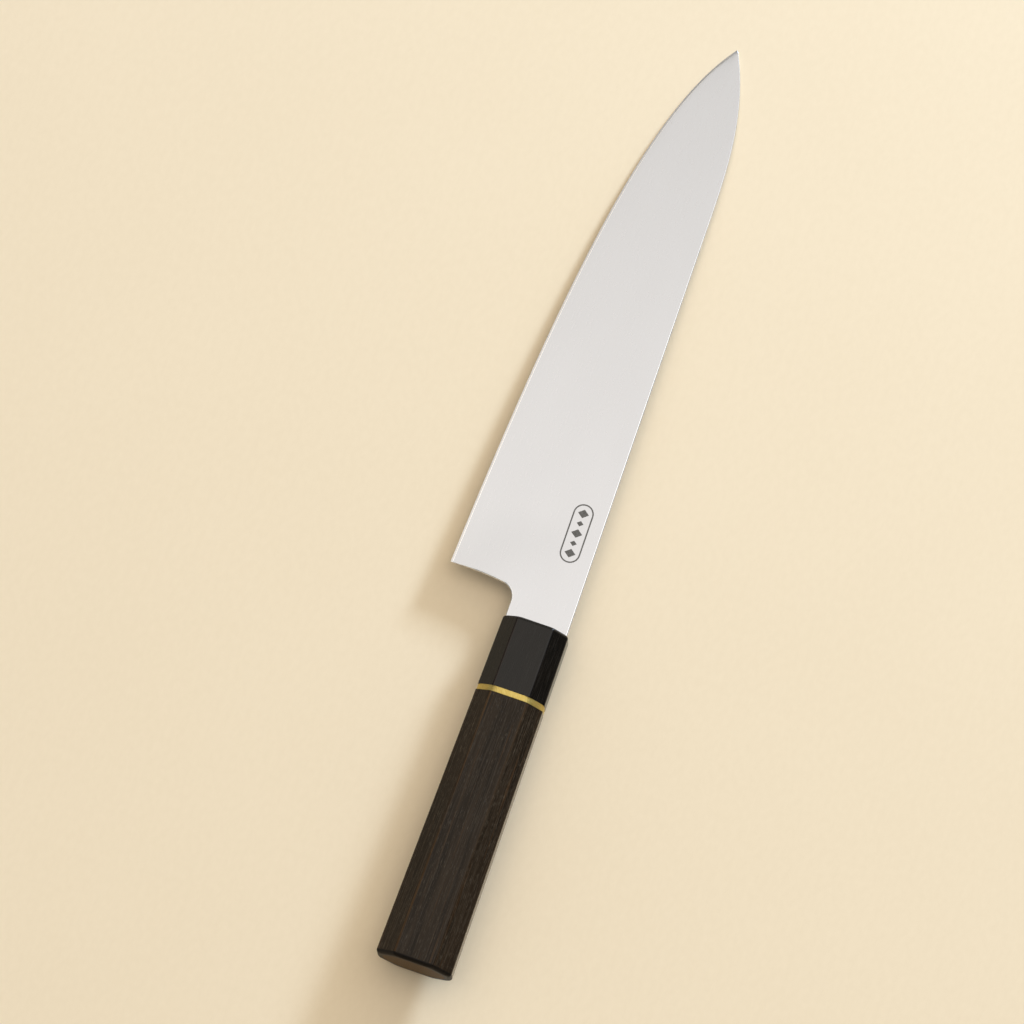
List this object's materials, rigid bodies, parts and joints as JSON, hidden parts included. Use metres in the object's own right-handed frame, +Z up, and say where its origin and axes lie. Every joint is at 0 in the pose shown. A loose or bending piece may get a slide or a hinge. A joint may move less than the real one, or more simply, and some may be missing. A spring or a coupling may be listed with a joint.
{
  "type": "chef knife with octagonal wooden handle",
  "caption": "Chef knife with a satin steel blade, a dark octagonal wooden handle, a brass spacer ring and a black horn ferrule, lying on its side.",
  "frame": {"origin": "centre of the bounding box on the surface the knife lies on", "axes": "+X from the butt of the handle to the tip of the blade, +Y to the cutting edge, +Z up from the surface"},
  "size_m": [0.3478, 0.0494, 0.0261],
  "materials": {
    "blade_steel": "satin",
    "horn": "satin",
    "brass": "satin",
    "dark_wood": "satin",
    "dowel_wood": "matte",
    "set_adhesive": "matte"
  },
  "bodies": {
    "root": {"blade": "blade_steel", "ferrule": "horn", "spacer_ring": "brass", "handle_body": "dark_wood", "tang_dowel": "dowel_wood", "tang_adhesive": "set_adhesive"}
  },
  "joints": []
}
